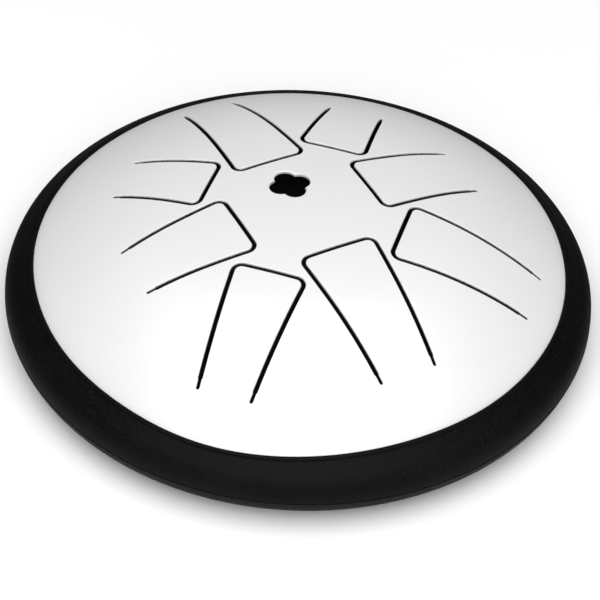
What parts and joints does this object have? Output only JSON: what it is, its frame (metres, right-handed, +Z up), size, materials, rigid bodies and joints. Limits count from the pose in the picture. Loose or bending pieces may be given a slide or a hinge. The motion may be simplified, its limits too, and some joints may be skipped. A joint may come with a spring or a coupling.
{
  "type": "steel tongue drum",
  "caption": "Steel tongue drum: a pressed dome with sounding tongues cut into it, an off-centre four-lobed sound hole, a shallow pan below and a rubber ring round the rim.",
  "frame": {"origin": "centre of the rubber ring's foot, on the surface that the drum stands on", "axes": "+Z up along the drum's axis, +X along the middle of tongue_1, tongues numbered anticlockwise seen from above"},
  "size_m": [0.241, 0.2408, 0.0566],
  "materials": {
    "white_lacquer": "satin white lacquer on pressed steel",
    "weld_steel": "dressed weld bead",
    "black_rubber": "matt moulded black rubber"
  },
  "bodies": {
    "drum": {"top_shell": "white_lacquer", "bottom_shell": "white_lacquer", "rim_weld": "weld_steel", "rubber_ring": "black_rubber"},
    "tongue_1": {"tongue_1": "white_lacquer"},
    "tongue_2": {"tongue_2": "white_lacquer"},
    "tongue_3": {"tongue_3": "white_lacquer"},
    "tongue_4": {"tongue_4": "white_lacquer"},
    "tongue_5": {"tongue_5": "white_lacquer"},
    "tongue_6": {"tongue_6": "white_lacquer"},
    "tongue_7": {"tongue_7": "white_lacquer"},
    "tongue_8": {"tongue_8": "white_lacquer"}
  },
  "joints": [
    {"name": "tongue_1_flex", "type": "hinge", "parent": "drum", "child": "tongue_1", "pos_m": [0.09638, 0, 0.03417], "axis": [0, -1, 0], "range_deg": [-0.6, 0.6], "stiffness_Nm_per_rad": 98},
    {"name": "tongue_2_flex", "type": "hinge", "parent": "drum", "child": "tongue_2", "pos_m": [0.05224, 0.05224, 0.04516], "axis": [0.7071, -0.7071, 0], "range_deg": [-0.6, 0.6], "stiffness_Nm_per_rad": 124},
    {"name": "tongue_3_flex", "type": "hinge", "parent": "drum", "child": "tongue_3", "pos_m": [0, 0.07537, 0.04463], "axis": [1, 0, 0], "range_deg": [-0.6, 0.6], "stiffness_Nm_per_rad": 137},
    {"name": "tongue_4_flex", "type": "hinge", "parent": "drum", "child": "tongue_4", "pos_m": [-0.06249, 0.06249, 0.03874], "axis": [0.7071, 0.7071, 0], "range_deg": [-0.6, 0.6], "stiffness_Nm_per_rad": 88},
    {"name": "tongue_5_flex", "type": "hinge", "parent": "drum", "child": "tongue_5", "pos_m": [-0.07637, 0, 0.04424], "axis": [0, 1, 0], "range_deg": [-0.6, 0.6], "stiffness_Nm_per_rad": 135},
    {"name": "tongue_6_flex", "type": "hinge", "parent": "drum", "child": "tongue_6", "pos_m": [-0.05153, -0.05153, 0.04554], "axis": [-0.7071, 0.7071, 0], "range_deg": [-0.6, 0.6], "stiffness_Nm_per_rad": 124},
    {"name": "tongue_7_flex", "type": "hinge", "parent": "drum", "child": "tongue_7", "pos_m": [0, -0.09287, 0.03631], "axis": [-1, 0, 0], "range_deg": [-0.6, 0.6], "stiffness_Nm_per_rad": 92},
    {"name": "tongue_8_flex", "type": "hinge", "parent": "drum", "child": "tongue_8", "pos_m": [0.06178, -0.06178, 0.03926], "axis": [-0.7071, -0.7071, 0], "range_deg": [-0.6, 0.6], "stiffness_Nm_per_rad": 91}
  ]
}
